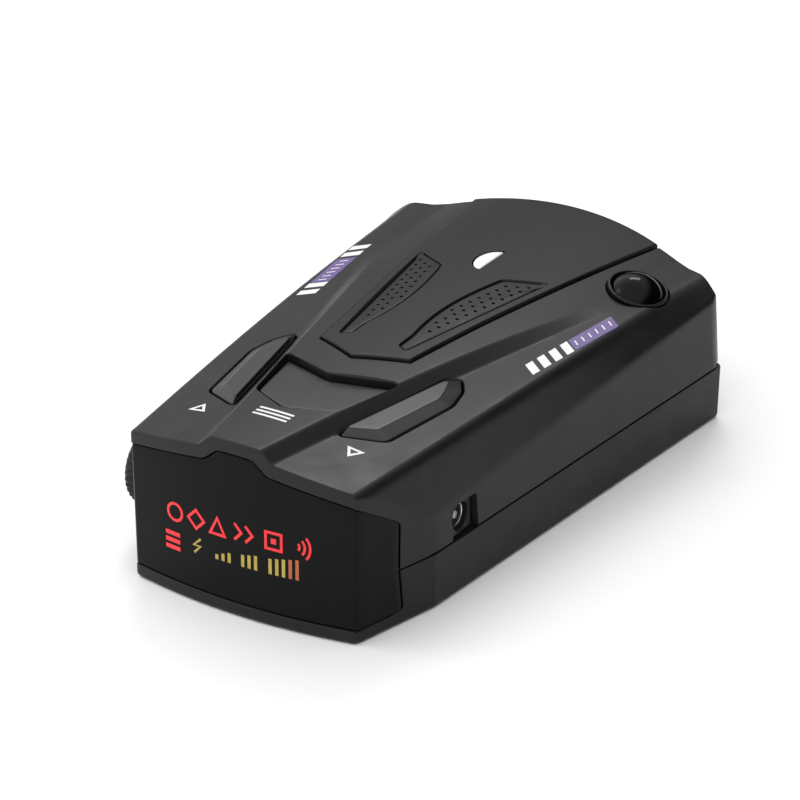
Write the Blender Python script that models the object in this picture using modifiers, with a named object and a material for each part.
"""Windscreen radar detector: a two-shell plastic case with its lens, buttons, dial and electronics.

The case stands on Z = 0 with its display facing -Y and its power inlet on +X. Every size below is in
millimetres, and every distance named *_S is measured back from the foremost point of the display face.
place() turns both into metres in the object's own frame, whose origin is under the middle of the case.
"""

import math

import bmesh
import bpy
from mathutils import Matrix, Vector

MM = 0.001
GAP = 0.3

# Case envelope
LENGTH = 109.6
MIDDLE_S = 54.8
WIDTH = 71.0
PARTING_Z = 10.8
WALL = 1.8
ROOF_THICKNESS = 2.6
FLOOR = 1.8

# Plan outline: a bowed display face, a chamfer facet, a flaring side and a bowed rear
CORNER_X, CORNER_S = 22.5, 2.35
FACET_X, FACET_S = 27.6, 19.0
SIDE_X, SIDE_S = WIDTH / 2, 101.6
TIP_LEAN, CORNER_LEAN, CORNER_FLARE = 0.062, 0.05, 0.012
DRAFT = 0.04
FRONT_STEPS, REAR_STEPS = 5, 7

# Roof: a crowned spine deck, its slanted side, the shoulder, the crease and the outer plane
CREST_S = 40.0
DECK_Z, DECK_FALL, DECK_CROWN = 32.2, 0.0004, 0.0055
SPINE_X, SPINE_FLARE, SPINE_CURVE = 4.7, 0.175, 0.0006
SPINE_BEND_S, SPINE_END_X = 80.0, 25.0
SLANT_RUN, SLANT_FLARE, SLANT_LEAST_DROP = 2.3, 0.007, 0.5
FOOT_Z, FOOT_FALL = 29.95, 0.021
CREASE_X, CREASE_FLARE = 22.65, 0.074
CREASE_Z, CREASE_FALL = 27.71, 0.0149
CREASE_BOW_OUT, CREASE_BOW_UP, CREASE_BOW_S, CREASE_BOW_LENGTH = 1.4, 1.2, 5.0, 135.0
RIDGE_Z, RIDGE_RISE = 17.35, 0.082
ROOF_END_S = 116.0
ROOF_STATIONS = (-4.0, 10.0, 24.0, CREST_S, 58.0, 70.0, SPINE_BEND_S, 90.0, 100.0, ROOF_END_S)
DECK_SHARES = (1 / 3, 2 / 3, 1.0)

# Hood: the raised speaker panel
HOOD_TIP_S, HOOD_SHOULDER_S = 36.8, 40.8
HOOD_PROUD, HOOD_SUNK = 0.5, 0.9
HOOD_WIDTHS = (
    (HOOD_TIP_S, 0.3),
    (HOOD_SHOULDER_S, 9.0),
    (59.0, 11.6),
    (80.0, 15.0),
    (95.0, 17.5),
    (107.0, 19.6),
    (ROOF_END_S, 21.2),
)

# Grille: the right one of the pair, as (x, s), with rows of holes along its outer edge
GRILLE_TIP, GRILLE_REAR_OUT, GRILLE_REAR_IN = (5.8, 42.8), (13.3, 78.9), (6.2, 74.8)
GRILLE_TIP_HALF_WIDTH, GRILLE_BOW = 1.0, 2.2
GRILLE_DEPTH, GRILLE_HOLE_R, GRILLE_HOLE_SIDES = 0.6, 0.42, 6
GRILLE_ROWS, GRILLE_PITCH_S, GRILLE_PITCH_X = 4, 2.1, 1.9
GRILLE_FIRST_S, GRILLE_MARGIN = 45.2, 1.0
LIGHT_X, LIGHT_S, LIGHT_LENGTH, LIGHT_WIDTH = 0.5, 80.3, 8.0, 2.8

# Display window in the front, as (x, z) of its right half
WINDOW = (
    (0.0, 2.7),
    (22.2, 2.7),
    (25.1, 3.2),
    (25.1, 19.2),
    (22.6, 25.0),
    (6.3, 27.3),
    (3.5, 29.6),
    (0.0, 29.7),
)
WINDOW_END_S = 12.6
WINDOW_DEPTH = 3.2
LENS_THICKNESS = 1.6

# Buttons, as (x, s) outlines, with the travel of their switches
TRAVEL = 0.5
BUTTON_GAP = 0.35
MENU_OUTLINE = ((0.0, 16.4), (8.0, 20.3), (11.2, 33.7), (0.0, 29.7))
MENU_DISH = 1.1
MENU_FLANGE_Z, SIDE_FLANGE_Z = 25.2, 22.8
SIDE_BASE = ((10.7, 16.7), (17.9, 20.2), (20.4, 36.0), (19.3, 41.0), (17.0, 44.2), (16.0, 42.4))
SIDE_TOP = ((11.3, 18.4), (15.6, 21.0), (18.3, 35.6), (17.5, 38.6), (16.5, 41.2), (15.9, 40.4))
SIDE_PROUD = 1.0
FLANGE_LIP, FLANGE_THICKNESS = 1.0, 0.8
SWITCH_SIZE, SWITCH_FLOOR, PLUNGER_R = 6.0, 0.5, 1.5
MENU_PIN, SIDE_PIN = (0.0, 24.5), (15.0, 31.0)
KEY_BOARD_BOSSES, KEY_BOARD_BOSS_R = ((9.0, 37.0), (-9.0, 37.0)), 1.6

# Laser dome on the right shoulder, tilted outwards, with heights measured from the roof along its axis
DOME_X, DOME_S, DOME_Z, DOME_TILT = 25.2, 89.3, 28.1, 15.0
DOME_R, DOME_TOP, DOME_BASE = 4.6, 2.9, 0.5
RING_R, RING_TOP, RING_FLOOR = 5.5, 0.8, -1.4
DOME_HOLE_R, DOME_SKIRT_END = 3.6, -2.7

# Side dial and power inlet
DIAL_S, DIAL_Z, DIAL_R, DIAL_FACE_X, DIAL_THICKNESS = 17.8, 12.4, 7.0, 30.8, 4.4
DIAL_WELL_X, DIAL_WELL_WALL, DIAL_WELL_WALL_S, DIAL_WELL_TOP = 25.6, 1.3, (12.9, 25.5), 20.6
DIAL_RIBS, DIAL_RIB_DEPTH = 24, 0.3
DIAL_SHAFT_R, DIAL_SHAFT_END_X = 1.7, 20.9
CONTROL_X = 23.0
JACK_S, JACK_Z, JACK_BORE_R, JACK_PIN_R = 27.0, 13.9, 2.45, 0.7
JACK_CUTOUT_S, JACK_CUTOUT_Z = (23.8, 30.4), 16.9
JACK_NOSE_X, JACK_BODY_X, JACK_BODY_HALF, JACK_BODY_Z = (24.0, 27.5), (13.0, 25.2), 4.5, 17.2

# Electronics
BOARD_Z, BOARD_THICKNESS = 5.0, 1.6
BOARD_RESTS, BOARD_REST_R = ((17.0, 26.0), (-14.0, 34.0), (20.0, 84.0), (-20.0, 84.0)), 2.2
COMPONENT_Z = BOARD_Z + BOARD_THICKNESS + GAP
KEY_BOARD_Z = 17.6
SPEAKER_S, SPEAKER_R, SPEAKER_Z = 58.0, 15.5, 17.6
HORN_START_S, HORN_THROAT_S, HORN_MOUTH_S = 69.5, 86.0, 103.0

# Screws, from below into bosses in the roof
SCREWS = ((23.0, 46.0), (27.2, 96.5))
BOSS_R, BOSS_HOLE_R = 2.8, 1.3
POST_R, POST_HOLE_R, HEAD_HOLE_R, HEAD_SEAT_Z = 3.6, 1.5, 2.6, 5.5
HEAD_R, HEAD_HEIGHT, SHANK_R, SHANK_END_Z = 2.2, 1.6, 1.0, 15.5
RECESS_LENGTH, RECESS_WIDTH, RECESS_DEPTH = 2.8, 0.6, 0.8

FINISHES = {
    "case": ((0.030, 0.030, 0.031), 0.42, 0.0),
    "gloss_black": ((0.006, 0.006, 0.007), 0.08, 0.0),
    "keys": ((0.040, 0.040, 0.041), 0.38, 0.0),
    "light_pipe": ((0.86, 0.87, 0.88), 0.12, 0.0),
    "board_green": ((0.02, 0.12, 0.05), 0.45, 0.0),
    "component_black": ((0.02, 0.02, 0.02), 0.5, 0.0),
    "tinned_steel": ((0.62, 0.62, 0.60), 0.32, 1.0),
    "zinc": ((0.50, 0.51, 0.52), 0.4, 1.0),
    "foam": ((0.05, 0.05, 0.05), 0.95, 0.0),
    "flex_amber": ((0.55, 0.25, 0.05), 0.4, 0.0),
    "screw_steel": ((0.35, 0.35, 0.36), 0.35, 1.0),
}


# ---------------------------------------------------------------- scene and mesh helpers


def clear_scene():
    for item in list(bpy.data.objects):
        bpy.data.objects.remove(item, do_unlink=True)


def new_collection(name):
    collection = bpy.data.collections.new(name)
    bpy.context.scene.collection.children.link(collection)
    return collection


def make_material(name, finish):
    color, roughness, metallic = FINISHES[finish]
    material = bpy.data.materials.new(name)
    material.use_nodes = True
    shader = material.node_tree.nodes["Principled BSDF"]
    shader.inputs["Base Color"].default_value = (*color, 1.0)
    shader.inputs["Roughness"].default_value = roughness
    shader.inputs["Metallic"].default_value = metallic
    return material


def place(x, s, z):
    """Millimetres in the case's own measures to metres in the object's frame."""
    return Vector((x, s - MIDDLE_S, z)) * MM


def finish_mesh(name, bm, collection):
    bmesh.ops.triangulate(bm, faces=bm.faces[:])
    bmesh.ops.recalc_face_normals(bm, faces=bm.faces[:])
    mesh = bpy.data.meshes.new(name)
    bm.to_mesh(mesh)
    bm.free()
    mesh.shade_smooth()
    mesh.set_sharp_from_angle(angle=math.radians(32))
    item = bpy.data.objects.new(name, mesh)
    collection.objects.link(item)
    return item


def loft(loops):
    """A closed solid through loops of (x, s, z) points, all with the same number of points."""
    bm = bmesh.new()
    rings = [[bm.verts.new(place(*point)) for point in loop] for loop in loops]
    for low, high in zip(rings, rings[1:]):
        for i in range(len(low)):
            j = (i + 1) % len(low)
            bm.faces.new((low[i], low[j], high[j], high[i]))
    bm.faces.new(list(reversed(rings[0])))
    bm.faces.new(rings[-1])
    return bm


def prism_up(points, low, high):
    """An upright prism on (x, s) points. low and high are heights, or functions of x and s."""
    low_at = low if callable(low) else lambda x, s: low
    high_at = high if callable(high) else lambda x, s: high
    bottom = [(x, s, low_at(x, s)) for x, s in points]
    top = [(x, s, high_at(x, s)) for x, s in points]
    return loft([bottom, top])


def prism_back(points, s0, s1):
    """A prism on (x, z) points that runs back from s0 to s1."""
    return loft([[(x, s0, z) for x, z in points], [(x, s1, z) for x, z in points]])


def block(x0, x1, s0, s1, z0, z1):
    bm = bmesh.new()
    bmesh.ops.create_cube(bm, size=1.0)
    low, high = place(x0, s0, z0), place(x1, s1, z1)
    size = high - low
    bmesh.ops.scale(bm, vec=size, verts=bm.verts[:])
    bmesh.ops.translate(bm, vec=(low + high) / 2, verts=bm.verts[:])
    return bm


def rod(centre, radius, length, axis="Z", sides=24):
    """A cylinder centred on centre, along X or Z."""
    bm = bmesh.new()
    bmesh.ops.create_cone(
        bm, cap_ends=True, segments=sides, radius1=radius * MM, radius2=radius * MM, depth=length * MM
    )
    if axis == "X":
        bmesh.ops.transform(bm, matrix=Matrix.Rotation(math.pi / 2, 4, "Y"), verts=bm.verts[:])
    bmesh.ops.translate(bm, vec=place(*centre), verts=bm.verts[:])
    return bm


def upright(x, s, z0, z1, radius, sides=24):
    return rod((x, s, (z0 + z1) / 2), radius, z1 - z0, "Z", sides)


def turned(name, profile, centre, collection, steps=32):
    """A body turned about a vertical axis from (radius, z) points, listed down the outer side."""
    bm = bmesh.new()
    points = [bm.verts.new(Vector((r, 0, z)) * MM) for r, z in profile]
    for a, b in zip(points, points[1:]):
        bm.edges.new((a, b))
    mesh = bpy.data.meshes.new(name)
    bm.to_mesh(mesh)
    bm.free()
    item = bpy.data.objects.new(name, mesh)
    item.location = place(*centre)
    collection.objects.link(item)
    screw = item.modifiers.new("turn", "SCREW")
    screw.steps = steps
    screw.render_steps = steps
    screw.use_merge_vertices = True
    screw.merge_threshold = 0.00001
    screw.use_smooth_shade = True
    return item


# The exact solver loses faces where these shells' cuts run nearly in one plane.
NEARLY_COPLANAR = ("top_cover", "bottom_case", "speaker_hood", "display_lens", "volume_dial", "window")


class Builder:
    """Makes parts and cutters in their two collections and joins them with Booleans."""

    def __init__(self):
        self.parts = new_collection("radar_detector")
        self.cutters = new_collection("cutters")
        self.count = 0

    def part(self, name, bm, finish):
        item = finish_mesh(name, bm, self.parts)
        item.data.materials.append(make_material(name, finish))
        return item

    def turned_part(self, name, profile, centre, finish, steps=32):
        item = turned(name, profile, centre, self.parts, steps)
        item.data.materials.append(make_material(name, finish))
        return item

    def tool(self, bm, name="tool"):
        self.count += 1
        item = finish_mesh(f"{name}_{self.count}", bm, self.cutters)
        item.hide_render = True
        item.display_type = "WIRE"
        return item

    def boolean(self, target, other, operation):
        modifier = target.modifiers.new(f"{operation.lower()}_{other.name}", "BOOLEAN")
        modifier.operation = operation
        modifier.solver = "MANIFOLD" if target.name.startswith(NEARLY_COPLANAR) else "EXACT"
        modifier.object = other
        return target

    def cut(self, target, *shapes):
        for shape in shapes:
            self.boolean(target, self.tool(shape), "DIFFERENCE")
        return target

    def add(self, target, *shapes):
        for shape in shapes:
            self.boolean(target, self.tool(shape), "UNION")
        return target

    def keep(self, target, *shapes):
        for shape in shapes:
            self.boolean(target, self.tool(shape), "INTERSECT")
        return target


# ---------------------------------------------------------------- case geometry


def mirrored(half):
    """A closed loop from its right half, listed from one end of the centreline to the other."""
    inner = [(-x, y) for x, y in reversed(half) if x > 0]
    return list(half) + inner


def inset(loop, distance):
    """An anticlockwise loop of (x, y) points moved inwards, with mitred corners."""
    result = []
    for i, point in enumerate(loop):
        here = Vector(point)
        before = (here - Vector(loop[i - 1])).normalized()
        after = (Vector(loop[(i + 1) % len(loop)]) - here).normalized()
        n1 = Vector((-before.y, before.x))
        n2 = Vector((-after.y, after.x))
        shift = (n1 + n2) * (distance / (1 + n1.dot(n2)))
        result.append(tuple(here + shift))
    return result


def ease(s, start, end):
    """0 up to start, 1 from end, straight between them."""
    return min(max((s - start) / (end - start), 0.0), 1.0)


def plan(z, inwards=0.0):
    """The case's outline at height z, as an anticlockwise loop of (x, s) points."""
    tip_s = TIP_LEAN * z
    corner_x, corner_s = CORNER_X + CORNER_FLARE * z, CORNER_S + CORNER_LEAN * z
    draft = DRAFT * abs(z - PARTING_Z)
    rear_s, side_s = LENGTH - draft, SIDE_S - draft
    half = [(0.0, tip_s)]
    for i in range(1, FRONT_STEPS + 1):
        share = i / FRONT_STEPS
        half.append((corner_x * share, tip_s + (corner_s - tip_s) * share**2))
    half.append((FACET_X - draft, FACET_S))
    for i in range(REAR_STEPS, -1, -1):
        share = i / REAR_STEPS
        half.append(((SIDE_X - draft) * share, rear_s - (rear_s - side_s) * share**2))
    return inset(mirrored(half), inwards)


def upright_case(heights, inwards=0.0):
    return loft([[(x, s, z) for x, s in plan(z, inwards)] for z in heights])


def spine_x(s):
    """Half the width of the spine deck."""
    t = min(s, SPINE_BEND_S)
    bend_x = SPINE_X + SPINE_FLARE * t + SPINE_CURVE * t * t
    return bend_x + (SPINE_END_X - bend_x) * ease(s, SPINE_BEND_S, ROOF_END_S)


def deck_z(x, s):
    """The spine deck, crowned across and falling away behind its crest."""
    return DECK_Z - DECK_CROWN * x * x - DECK_FALL * max(s - CREST_S, 0.0) ** 2


def hood_z(x, s):
    return deck_z(x, s) + HOOD_PROUD


def foot(s):
    """Where the spine's slanted side meets the shoulder, as (x, z)."""
    edge_x = spine_x(s)
    lowest = deck_z(edge_x, s) - SLANT_LEAST_DROP
    return edge_x + SLANT_RUN + SLANT_FLARE * s, min(FOOT_Z - FOOT_FALL * s, lowest)


def crease(s):
    """Where the shoulder meets the outer plane, bowed out and up along its middle, as (x, z)."""
    bow = math.sin(math.pi * ease(s, CREASE_BOW_S, CREASE_BOW_S + CREASE_BOW_LENGTH))
    x = CREASE_X + CREASE_FLARE * s + CREASE_BOW_OUT * bow
    return x, CREASE_Z - CREASE_FALL * s + CREASE_BOW_UP * bow


def shoulder_z(x, s):
    (foot_x, foot_z), (crease_x, crease_z) = foot(s), crease(s)
    return foot_z + (crease_z - foot_z) * (x - foot_x) / (crease_x - foot_x)


def side_x(s):
    return FACET_X + (SIDE_X - FACET_X) * (s - FACET_S) / (SIDE_S - FACET_S)


def ridge_z(s):
    return RIDGE_Z + RIDGE_RISE * (s - FACET_S)


def roof_half(s, drop=0.0):
    """The roof's cross-section at s, as (x, z) points from the centreline out and down."""
    edge_x = spine_x(s)
    points = [(0.0, deck_z(0.0, s))]
    points += [(edge_x * share, deck_z(edge_x * share, s)) for share in DECK_SHARES]
    ridge = Vector((side_x(s) - DRAFT * (ridge_z(s) - PARTING_Z), ridge_z(s)))
    outer = ridge + (ridge - Vector(crease(s))) * 0.7
    points += [foot(s), crease(s), tuple(outer)]
    return [(x, z - drop) for x, z in points] + [(outer.x, -2.0), (0.0, -2.0)]


def roof_body(drop=0.0):
    """Everything below the roof surface, lowered by drop, for cutting the case to its outer shape."""
    loops = []
    for s in ROOF_STATIONS:
        loops.append([(x, s, z) for x, z in mirrored(roof_half(s, drop))])
    return loft(loops)


def hood_body(grow, low, high):
    """The hood's outline grown sideways, between two heights given as functions of x and s."""
    loops = []
    for s, half_width in HOOD_WIDTHS:
        w = half_width + grow
        start = s - grow if s == HOOD_TIP_S else s
        across = (-w, -w / 2, 0.0, w / 2, w)
        bottom = [(x, start, low(x, s)) for x in across]
        top = [(x, start, high(x, s)) for x in reversed(across)]
        loops.append(bottom + top)
    return loft(loops)


def window_prism(shrink):
    return prism_back(inset(mirrored(WINDOW), shrink), -3.0, WINDOW_END_S)


def window_cutter(builder):
    """The window's outline through the front wall only, so that it leaves the roof behind it whole."""
    cutter = builder.tool(window_prism(-GAP), "window")
    builder.cut(cutter, upright_case((-2.0, 14.0, 34.0), WINDOW_DEPTH))
    return cutter


def grille_inner_x(s):
    """The grille's inner edge, bowed towards the centreline."""
    share = ease(s, GRILLE_TIP[1], GRILLE_REAR_IN[1])
    straight = GRILLE_TIP[0] + (GRILLE_REAR_IN[0] - GRILLE_TIP[0]) * share
    return straight - GRILLE_BOW * math.sin(math.pi * share)


def grille_outline(margin=0.0):
    """The right grille: a straight outer edge, a bowed inner edge and a slanted rear end."""
    tip_x, tip_s = GRILLE_TIP
    loop = [(tip_x + GRILLE_TIP_HALF_WIDTH, tip_s), GRILLE_REAR_OUT, GRILLE_REAR_IN]
    for share in (5 / 6, 4 / 6, 3 / 6, 2 / 6, 1 / 6):
        s = tip_s + (GRILLE_REAR_IN[1] - tip_s) * share
        loop.append((grille_inner_x(s), s))
    loop.append((tip_x - GRILLE_TIP_HALF_WIDTH, tip_s + GRILLE_TIP_HALF_WIDTH))
    return inset(loop, margin)


def grille_holes():
    """Staggered hole centres inside the right grille, in rows parallel to its outer edge."""
    holes = []
    (tip_x, tip_s), (out_x, out_s), (in_x, in_s) = GRILLE_TIP, GRILLE_REAR_OUT, GRILLE_REAR_IN
    most = int((out_s - GRILLE_FIRST_S) / GRILLE_PITCH_S) + 1
    for row in range(GRILLE_ROWS):
        for i in range(most):
            s = GRILLE_FIRST_S + GRILLE_PITCH_S * (i + 0.5 * (row % 2))
            outer_x = tip_x + (out_x - tip_x) * (s - tip_s) / (out_s - tip_s)
            x = outer_x - GRILLE_MARGIN - GRILLE_PITCH_X * row
            rear_s = in_s + (out_s - in_s) * (x - in_x) / (out_x - in_x)
            if x > grille_inner_x(s) + GRILLE_MARGIN and s < rear_s - GRILLE_MARGIN:
                holes.append((x, s))
    return holes


def grille_drills():
    bm = bmesh.new()
    for x, s in grille_holes():
        for side in (1, -1):
            bmesh.ops.create_cone(
                bm,
                cap_ends=True,
                segments=GRILLE_HOLE_SIDES,
                radius1=GRILLE_HOLE_R * MM,
                radius2=GRILLE_HOLE_R * MM,
                depth=20.0 * MM,
                matrix=Matrix.Translation(place(side * x, s, 30.0)),
            )
    return bm


def flip(points):
    return [(-x, s) for x, s in reversed(points)]


# ---------------------------------------------------------------- shells


def build_top_cover(builder):
    cover = builder.part("top_cover", upright_case((PARTING_Z, 20.0, 33.0)), "case")
    builder.keep(cover, roof_body())
    cavity = builder.tool(upright_case((2.0, 20.0, 33.0), WALL), "cavity")
    builder.keep(cavity, roof_body(ROOF_THICKNESS))
    builder.boolean(cover, cavity, "DIFFERENCE")
    for side in (1, -1):
        for x, s in SCREWS:
            top = shoulder_z(x, s) - ROOF_THICKNESS + 0.6
            builder.add(cover, upright(side * x, s, PARTING_Z + 0.6, top, BOSS_R, 20))
            builder.cut(cover, upright(side * x, s, PARTING_Z, 19.0, BOSS_HOLE_R, 16))
    builder.add(cover, speaker_wall(), dial_well_wall(PARTING_Z, DIAL_WELL_TOP))
    for x, s in KEY_BOARD_BOSSES:
        low, top = KEY_BOARD_Z + BOARD_THICKNESS + GAP, deck_z(x, s) - ROOF_THICKNESS / 2
        builder.add(cover, upright(x, s, low, top, KEY_BOARD_BOSS_R, 16))
    builder.cut(cover, lip_relief())
    builder.boolean(cover, window_cutter(builder), "DIFFERENCE")
    builder.cut(cover, hood_body(GAP, lambda x, s: deck_z(x, s) - HOOD_SUNK - GAP, lambda x, s: 40.0))
    openings = [menu_loop(-BUTTON_GAP), inset(SIDE_BASE, -BUTTON_GAP)]
    openings.append(flip(openings[1]))
    for loop in openings:
        builder.cut(cover, prism_up(loop, 18.0, 40.0))
    for loop in (grille_outline(0.7), flip(grille_outline(0.7))):
        builder.cut(cover, prism_up(loop, 22.0, 40.0))
    builder.cut(cover, dome_drill(RING_FLOOR, RING_R + GAP, 40), dome_drill(-6.0, DOME_HOLE_R + GAP, 32))
    builder.cut(cover, block(24.5, 32.0, *JACK_CUTOUT_S, 8.0, JACK_CUTOUT_Z), *dial_clearances())
    return cover


def menu_loop(shrink=0.0):
    return inset(mirrored(MENU_OUTLINE), shrink)


def speaker_wall():
    """A ring under the roof that the speaker's frame sits in."""
    inner, outer = SPEAKER_R + 0.4, SPEAKER_R + 1.6
    bm = bmesh.new()
    sides = 36
    rings = []
    top = deck_z(0.0, SPEAKER_S) - ROOF_THICKNESS + 0.4
    for radius, z in ((outer, 22.0), (outer, top), (inner, top), (inner, 22.0)):
        ring = []
        for i in range(sides):
            angle = 2 * math.pi * i / sides
            x, s = radius * math.cos(angle), SPEAKER_S + radius * math.sin(angle)
            ring.append(bm.verts.new(place(x, s, z)))
        rings.append(ring)
    for a, b in zip(rings, rings[1:] + rings[:1]):
        for i in range(sides):
            j = (i + 1) % sides
            bm.faces.new((a[i], a[j], b[j], b[i]))
    return bm


def lip_relief():
    """The step inside the cover's wall that the bottom case's lip stands in."""
    return upright_case((2.0, PARTING_Z + 1.7), WALL / 2 - 0.1)


def dial_well_wall(low, high):
    """A wall inside the case behind the dial's well."""
    return block(-DIAL_WELL_X - 0.1, DIAL_WELL_WALL - DIAL_WELL_X, *DIAL_WELL_WALL_S, low, high)


def dial_clearances():
    """The dial's well, open at the side, and the hole for its shaft."""
    length = 8.0
    well = rod((-DIAL_WELL_X - length / 2, DIAL_S, DIAL_Z), DIAL_R + GAP, length, "X", 40)
    shaft = rod((-DIAL_WELL_X, DIAL_S, DIAL_Z), DIAL_SHAFT_R + 0.5, 6.0, "X", 20)
    return well, shaft


def build_bottom_case(builder):
    rim_z = PARTING_Z - GAP
    outer = [
        [(x, s, 0.0) for x, s in plan(0.0, 0.5)],
        [(x, s, 0.15) for x, s in plan(0.15, 0.2)],
        [(x, s, 0.5) for x, s in plan(0.5, 0.0)],
        [(x, s, rim_z) for x, s in plan(rim_z, -0.12)],
    ]
    case = builder.part("bottom_case", loft(outer), "case")
    builder.add(case, upright_case((8.0, PARTING_Z + 1.4), WALL / 2 + 0.2))
    builder.cut(case, upright_case((FLOOR, 14.0), WALL))
    builder.add(case, dial_well_wall(FLOOR / 2, rim_z))
    for side in (1, -1):
        for x, s in SCREWS:
            builder.add(case, upright(side * x, s, FLOOR / 2, PARTING_Z + 0.3, POST_R, 20))
            builder.cut(case, upright(side * x, s, -1.0, PARTING_Z + 2.0, POST_HOLE_R, 20))
            builder.cut(case, upright(side * x, s, -1.0, HEAD_SEAT_Z, HEAD_HOLE_R, 24))
    for x, s in BOARD_RESTS:
        builder.add(case, upright(x, s, FLOOR / 2, BOARD_Z - GAP, BOARD_REST_R, 16))
    builder.boolean(case, window_cutter(builder), "DIFFERENCE")
    builder.cut(case, *dial_clearances())
    start_s, end_s = JACK_CUTOUT_S
    builder.cut(case, block(24.5, 27.9, start_s - GAP, end_s + GAP, rim_z, 14.0))
    return case


def build_display_lens(builder):
    lens = builder.part("display_lens", upright_case((0.0, 14.0, 28.0)), "gloss_black")
    builder.cut(lens, upright_case((-2.0, 14.0, 30.0), LENS_THICKNESS))
    builder.keep(lens, window_prism(0.0))
    return lens


# ---------------------------------------------------------------- hood, dome and light


def build_speaker_hood(builder):
    hood = builder.part("speaker_hood", hood_body(0.0, lambda x, s: deck_z(x, s) - HOOD_SUNK, hood_z), "case")
    builder.keep(hood, upright_case((18.0, 33.0)))
    for loop in (grille_outline(), flip(grille_outline())):
        builder.cut(hood, prism_up(loop, lambda x, s: hood_z(x, s) - GRILLE_DEPTH, 40.0))
    builder.cut(hood, grille_drills(), prism_up(light_outline(-GAP), 20.0, 40.0))
    return hood


def light_outline(shrink=0.0):
    """A half-moon window with its straight edge along the centreline."""
    loop = [(LIGHT_X, LIGHT_S + LIGHT_LENGTH / 2)]
    for i in range(1, 10):
        angle = math.pi * i / 10
        loop.append((LIGHT_X - LIGHT_WIDTH * math.sin(angle), LIGHT_S + LIGHT_LENGTH / 2 * math.cos(angle)))
    loop.append((LIGHT_X, LIGHT_S - LIGHT_LENGTH / 2))
    return inset(loop, shrink)


def build_status_light(builder):
    return builder.part(
        "status_light_pipe",
        prism_up(light_outline(), lambda x, s: deck_z(x, s) - HOOD_SUNK, lambda x, s: hood_z(x, s) + 0.05),
        "light_pipe",
    )


def dome_drill(low, radius, sides):
    """A drill along the dome's tilted axis, from low upwards."""
    bm = upright(DOME_X, DOME_S, DOME_Z + low, DOME_Z + 12.0, radius, sides)
    tilt = Matrix.Rotation(math.radians(DOME_TILT), 4, "Y")
    pivot = place(DOME_X, DOME_S, DOME_Z)
    matrix = Matrix.Translation(pivot) @ tilt @ Matrix.Translation(-pivot)
    bmesh.ops.transform(bm, matrix=matrix, verts=bm.verts[:])
    return bm


def build_laser_dome(builder):
    height = DOME_TOP - DOME_BASE
    outer_r = (DOME_R**2 + height**2) / (2 * height)
    centre = DOME_TOP - outer_r
    profile = []
    start = math.asin(DOME_R / outer_r)
    for i in range(9):
        angle = start * i / 8
        profile.append((outer_r * math.sin(angle), centre + outer_r * math.cos(angle)))
    profile.append((DOME_R, RING_FLOOR + GAP))
    profile.append((DOME_HOLE_R, RING_FLOOR + GAP))
    profile.append((DOME_HOLE_R, DOME_SKIRT_END))
    profile.append((DOME_HOLE_R - 1.0, DOME_SKIRT_END))
    profile.append((DOME_HOLE_R - 1.0, DOME_BASE))
    profile.append((0.0, DOME_TOP - 1.2))
    ring = [
        (DOME_R + GAP, RING_TOP - 0.2),
        (DOME_R + GAP + 0.2, RING_TOP),
        (RING_R - 0.25, RING_TOP),
        (RING_R, RING_TOP - 0.25),
        (RING_R, RING_FLOOR + GAP),
        (DOME_R + GAP, RING_FLOOR + GAP),
        (DOME_R + GAP, RING_TOP - 0.2),
    ]
    seat = (DOME_X, DOME_S, DOME_Z)
    dome = builder.turned_part("laser_dome", profile, seat, "gloss_black", 36)
    surround = builder.turned_part("dome_ring", ring, seat, "case", 36)
    for item in (dome, surround):
        item.rotation_euler = (0.0, math.radians(DOME_TILT), 0.0)


# ---------------------------------------------------------------- buttons and dial


def set_origin(item, x, s, z):
    """Moves an object's origin onto its joint's axis and leaves its shape where it is."""
    pivot = place(x, s, z)
    item.data.transform(Matrix.Translation(-pivot))
    item.location = pivot


def build_menu_button(builder):
    front_s, back_s = MENU_OUTLINE[0][1], MENU_OUTLINE[2][1]

    def top(x, s):
        return deck_z(x, s) - 0.05 - MENU_DISH * (s - front_s) / (back_s - front_s)

    body = prism_up(menu_loop(), MENU_FLANGE_Z - 0.4, top)
    button = builder.part("menu_button", body, "keys")
    flange = prism_up(menu_loop(-FLANGE_LIP), MENU_FLANGE_Z - FLANGE_THICKNESS, MENU_FLANGE_Z)
    builder.add(button, flange)
    set_origin(button, *MENU_PIN, MENU_FLANGE_Z)


def build_side_button(builder, name, side):
    def turn(loop):
        return loop if side > 0 else flip(loop)

    def deck(x, s):
        return shoulder_z(abs(x), s)

    base = turn(SIDE_BASE)
    top = turn(SIDE_TOP)
    loops = [
        [(x, s, SIDE_FLANGE_Z - 0.4) for x, s in base],
        [(x, s, deck(x, s) - 0.05) for x, s in base],
        [(x, s, deck(x, s) + SIDE_PROUD) for x, s in top],
    ]
    button = builder.part(name, loft(loops), "keys")
    flange = turn(inset(SIDE_BASE, -FLANGE_LIP))
    builder.add(button, prism_up(flange, SIDE_FLANGE_Z - FLANGE_THICKNESS, SIDE_FLANGE_Z))
    set_origin(button, side * SIDE_PIN[0], SIDE_PIN[1], SIDE_FLANGE_Z)


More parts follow.
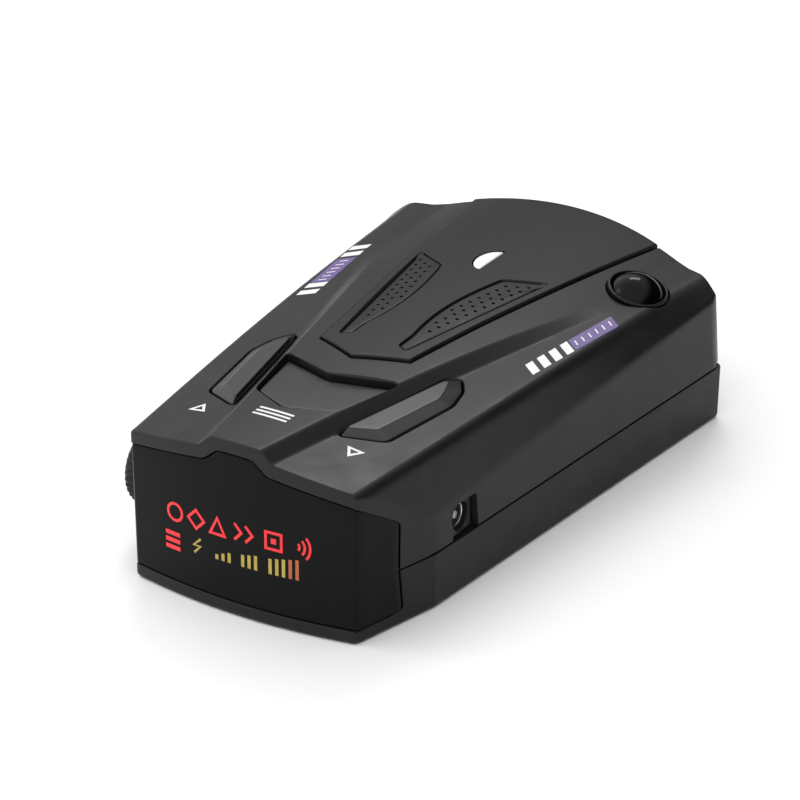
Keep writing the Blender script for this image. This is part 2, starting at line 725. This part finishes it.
def build_switch(builder, name, x, s, flange_z):
    """A tact switch on the key board and the plunger that its button presses."""
    half = SWITCH_SIZE / 2
    under = flange_z - FLANGE_THICKNESS
    low = KEY_BOARD_Z + BOARD_THICKNESS + GAP
    well = low + SWITCH_FLOOR
    body_top = under - TRAVEL - GAP
    body = block(x - half, x + half, s - half, s + half, low, body_top)
    switch = builder.part(f"{name}_switch", body, "component_black")
    builder.cut(switch, upright(x, s, well, body_top + 1.0, PLUNGER_R + 0.4, 20))
    stem = upright(x, s, well + TRAVEL + GAP, under - GAP, PLUNGER_R, 20)
    plunger = builder.part(f"{name}_plunger", stem, "component_black")
    set_origin(plunger, x, s, under)


def build_dial(builder):
    """A knurled disc on a horizontal shaft, half above and half below the parting line."""
    face, back = -DIAL_FACE_X, -DIAL_FACE_X + DIAL_THICKNESS
    loops = []
    for x, trim in ((face, 0.5), (face + 0.4, 0.0), (back, 0.0)):
        loop = []
        for i in range(DIAL_RIBS * 2):
            angle = 2 * math.pi * i / (DIAL_RIBS * 2)
            radius = DIAL_R - trim - DIAL_RIB_DEPTH * (i % 2)
            loop.append((x, DIAL_S + radius * math.cos(angle), DIAL_Z + radius * math.sin(angle)))
        loops.append(loop)
    dial = builder.part("volume_dial", loft(loops), "keys")
    shaft_start = back - 1.0
    shaft_length = -DIAL_SHAFT_END_X - shaft_start
    shaft_middle = (shaft_start + shaft_length / 2, DIAL_S, DIAL_Z)
    builder.add(dial, rod(shaft_middle, DIAL_SHAFT_R, shaft_length, "X", 20))
    builder.cut(dial, block(face - 1.0, face + 0.5, DIAL_S - 0.4, DIAL_S + 0.4, DIAL_Z + 2.2, DIAL_Z + 5.2))
    body = block(-CONTROL_X, 6.0 - CONTROL_X, DIAL_S - 3.8, DIAL_S + 4.6, COMPONENT_Z, DIAL_Z + 4.0)
    control = builder.part("volume_control", body, "tinned_steel")
    bore_end = 0.6 - DIAL_SHAFT_END_X
    builder.cut(control, rod((bore_end - 4.0, DIAL_S, DIAL_Z), DIAL_SHAFT_R + 0.35, 8.0, "X", 20))
    set_origin(dial, back, DIAL_S, DIAL_Z)


# ---------------------------------------------------------------- electronics


def build_dc_jack(builder):
    """The power inlet: a body on the board and a nose that fills the cut-out in the side."""
    start_s, end_s = JACK_CUTOUT_S
    nose = block(*JACK_NOSE_X, start_s + GAP, end_s - GAP, PARTING_Z + 0.1, JACK_CUTOUT_Z - GAP)
    body = block(*JACK_BODY_X, JACK_S - JACK_BODY_HALF, JACK_S + JACK_BODY_HALF, COMPONENT_Z, JACK_BODY_Z)
    jack = builder.part("dc_jack", body, "component_black")
    builder.add(jack, nose)
    builder.cut(jack, rod((22.5, JACK_S, JACK_Z), JACK_BORE_R, 13.0, "X", 32))
    builder.part("dc_jack_pin", rod((21.3, JACK_S, JACK_Z), JACK_PIN_R, 10.0, "X", 16), "tinned_steel")


def build_boards(builder):
    """The main board, the key board, and the display board with its light box and ribbon."""
    top = BOARD_Z + BOARD_THICKNESS
    board = builder.part("main_board", upright_case((BOARD_Z, top), WALL + 1.0), "board_green")
    behind_display = block(-40.0, 40.0, -5.0, 13.0, 0.0, 20.0)
    beside_dial = block(-40.0, GAP + DIAL_WELL_WALL - DIAL_WELL_X, 5.0, 26.0, 0.0, 20.0)
    builder.cut(board, behind_display, beside_dial)
    for side in (1, -1):
        for x, s in SCREWS:
            builder.cut(board, upright(side * x, s, 0.0, 20.0, POST_R + 0.5, 20))
    key_outline = ((0.0, 14.0), (17.0, 14.0), (19.5, 20.0), (19.5, 41.5), (0.0, 41.5))
    key_body = prism_up(mirrored(key_outline), KEY_BOARD_Z, KEY_BOARD_Z + BOARD_THICKNESS)
    builder.part("key_board", key_body, "board_green")
    builder.part("display_board", block(-17.5, 17.5, 10.4, 12.0, 7.4, 20.6), "board_green")
    builder.part("display_light_box", block(-17.0, 17.0, 7.3, 10.1, 7.4, 20.6), "component_black")
    ribbon = loft(
        [
            [(-6.0, 12.4, 8.0), (6.0, 12.4, 8.0), (6.0, 12.4, 15.0), (-6.0, 12.4, 15.0)],
            [(-6.0, 12.7, 7.6), (6.0, 12.7, 7.6), (6.0, 12.7, 15.0), (-6.0, 12.7, 15.0)],
        ]
    )
    flex = builder.part("display_ribbon", ribbon, "flex_amber")
    builder.add(flex, block(-6.0, 6.0, 12.4, 19.0, 7.0, 8.3))


def build_speaker(builder):
    z = SPEAKER_Z
    profile = [
        (0.0, z + 5.4),
        (4.0, z + 4.8),
        (12.6, z + 7.6),
        (13.4, z + 8.0),
        (SPEAKER_R, z + 8.0),
        (SPEAKER_R, z + 6.8),
        (13.0, z + 6.4),
        (8.4, z + 3.2),
        (8.4, z),
        (0.0, z),
    ]
    builder.turned_part("speaker", profile, (0.0, SPEAKER_S, 0.0), "tinned_steel", 32)
    gasket = [(13.0, z + 8.6), (SPEAKER_R, z + 8.6), (SPEAKER_R, z + 8.3), (13.0, z + 8.3), (13.0, z + 8.6)]
    builder.turned_part("speaker_gasket", gasket, (0.0, SPEAKER_S, 0.0), "foam", 32)


def build_receiver(builder):
    """The horn antenna that looks backwards, its screening can, and the laser sensor under the dome."""
    mouth = [(-16.0, 9.0), (16.0, 9.0), (16.0, 23.0), (-16.0, 23.0)]
    throat = [(-6.0, 12.5), (6.0, 12.5), (6.0, 19.5), (-6.0, 19.5)]

    def ring(points, s):
        return [(x, s, z) for x, z in points]

    body = loft([ring(throat, HORN_START_S), ring(throat, HORN_THROAT_S), ring(mouth, HORN_MOUTH_S)])
    horn = builder.part("horn_antenna", body, "zinc")
    inner_throat, inner_mouth = inset(throat, 1.0), inset(mouth, 1.0)
    beyond = inset(mouth, 0.4)
    hollow = [ring(inner_throat, HORN_START_S + 4.0), ring(inner_throat, HORN_THROAT_S)]
    hollow.append(ring(inner_mouth, HORN_MOUTH_S))
    builder.cut(horn, loft(hollow + [ring(beyond, HORN_MOUTH_S + 1.5)]))
    can = block(-12.0, 12.0, 44.0, 69.0, COMPONENT_Z, 12.4)
    shield = builder.part("receiver_shield", can, "tinned_steel")
    builder.cut(shield, block(-11.4, 11.4, 44.6, 68.4, COMPONENT_Z - 1.0, 11.8))
    builder.part("laser_sensor", upright(DOME_X, DOME_S, 20.5, 24.3, 2.0, 20), "component_black")
    sensor_board = block(DOME_X - 5.0, DOME_X + 4.0, DOME_S - 5.0, DOME_S + 3.5, 18.6, 20.2)
    builder.part("sensor_board", sensor_board, "board_green")


def build_components(builder):
    low = COMPONENT_Z
    builder.part("controller_chip", block(-21.0, -14.0, 56.0, 63.0, low, low + 1.4), "component_black")
    builder.part("voice_chip", block(14.5, 19.5, 56.0, 62.0, low, low + 1.4), "component_black")
    builder.part("power_capacitor", upright(8.0, 22.0, low, low + 8.0, 3.1, 24), "component_black")
    builder.part("power_inductor", upright(8.0, 31.0, low, low + 4.0, 3.6, 20), "component_black")
    builder.part("crystal", block(-17.0, -14.3, 66.0, 76.0, low, low + 3.4), "tinned_steel")


def build_screws(builder):
    places = [(side * x, s) for side in (1, -1) for x, s in SCREWS]
    top = HEAD_SEAT_Z - GAP
    for number, (x, s) in enumerate(places, start=1):
        low = top - HEAD_HEIGHT
        screw = builder.part(f"case_screw_{number}", upright(x, s, low, top, HEAD_R, 20), "screw_steel")
        builder.add(screw, upright(x, s, top - 0.7, SHANK_END_Z, SHANK_R, 12))
        long_half, short_half = RECESS_LENGTH / 2, RECESS_WIDTH / 2
        for half_x, half_s in ((long_half, short_half), (short_half, long_half)):
            slot = block(x - half_x, x + half_x, s - half_s, s + half_s, low - 1.0, low + RECESS_DEPTH)
            builder.cut(screw, slot)


def main():
    clear_scene()
    builder = Builder()
    build_top_cover(builder)
    build_bottom_case(builder)
    build_display_lens(builder)
    build_speaker_hood(builder)
    build_status_light(builder)
    build_laser_dome(builder)
    build_menu_button(builder)
    build_side_button(builder, "down_button", 1)
    build_side_button(builder, "up_button", -1)
    build_switch(builder, "menu", *MENU_PIN, MENU_FLANGE_Z)
    build_switch(builder, "down", *SIDE_PIN, SIDE_FLANGE_Z)
    build_switch(builder, "up", -SIDE_PIN[0], SIDE_PIN[1], SIDE_FLANGE_Z)
    build_dial(builder)
    build_dc_jack(builder)
    build_boards(builder)
    build_speaker(builder)
    build_receiver(builder)
    build_components(builder)
    build_screws(builder)


main()
